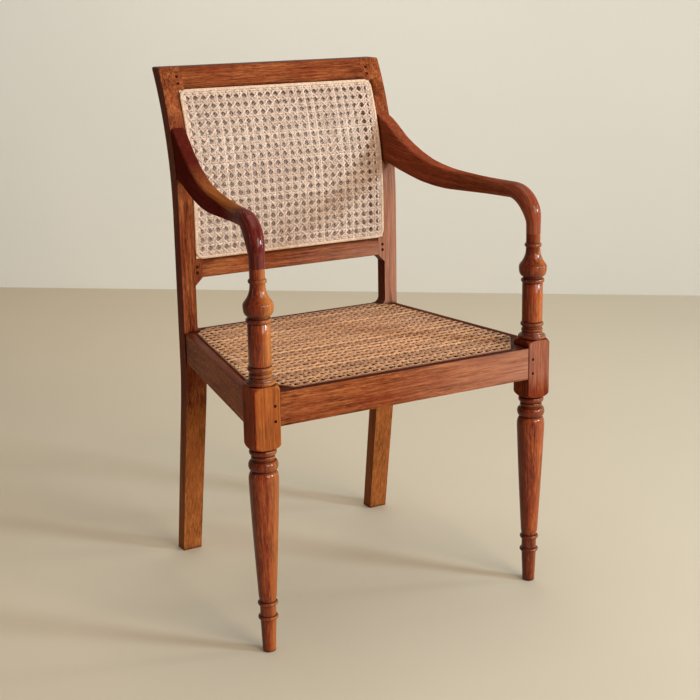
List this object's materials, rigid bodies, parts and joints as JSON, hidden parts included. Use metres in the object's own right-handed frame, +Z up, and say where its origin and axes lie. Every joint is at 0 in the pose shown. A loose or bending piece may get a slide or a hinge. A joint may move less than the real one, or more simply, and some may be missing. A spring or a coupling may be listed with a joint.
{
  "type": "dining armchair",
  "caption": "Open-arm dining chair of pegged hardwood with turned front legs, swept arms and woven cane in the curved back and the flat seat.",
  "frame": {"origin": "on the floor, under the middle of the chair's bounding box", "axes": "+Z up; the chair faces -Y; +X is on the right for someone who looks at its front, and the pieces named left are on the -X side"},
  "size_m": [0.5664, 0.5148, 0.908],
  "materials": {
    "hardwood": "satin oiled and varnished",
    "dark_hardwood": "satin oiled and varnished",
    "cane": "woven split cane, low sheen",
    "reed": "round reed, low sheen",
    "screw_steel": "plain"
  },
  "bodies": {
    "root": {"front_leg_left": "hardwood", "front_leg_right": "hardwood", "rear_post_left": "hardwood", "rear_post_right": "hardwood", "arm_left": "hardwood", "arm_right": "hardwood", "crest_rail": "hardwood", "lower_back_rail": "hardwood", "seat_rail_front": "hardwood", "seat_rail_rear": "hardwood", "seat_rail_left": "hardwood", "seat_rail_right": "hardwood", "corner_block_front_left": "dark_hardwood", "corner_block_front_right": "dark_hardwood", "corner_block_rear_left": "dark_hardwood", "corner_block_rear_right": "dark_hardwood", "back_cane_front": "cane", "back_cane_rear": "cane", "back_reed_front": "reed", "back_reed_rear": "reed", "seat_cane": "cane", "seat_reed": "reed", "crest_pegs": "dark_hardwood", "lower_rail_pegs": "dark_hardwood", "front_rail_pegs": "dark_hardwood", "corner_screws": "screw_steel"}
  },
  "joints": []
}
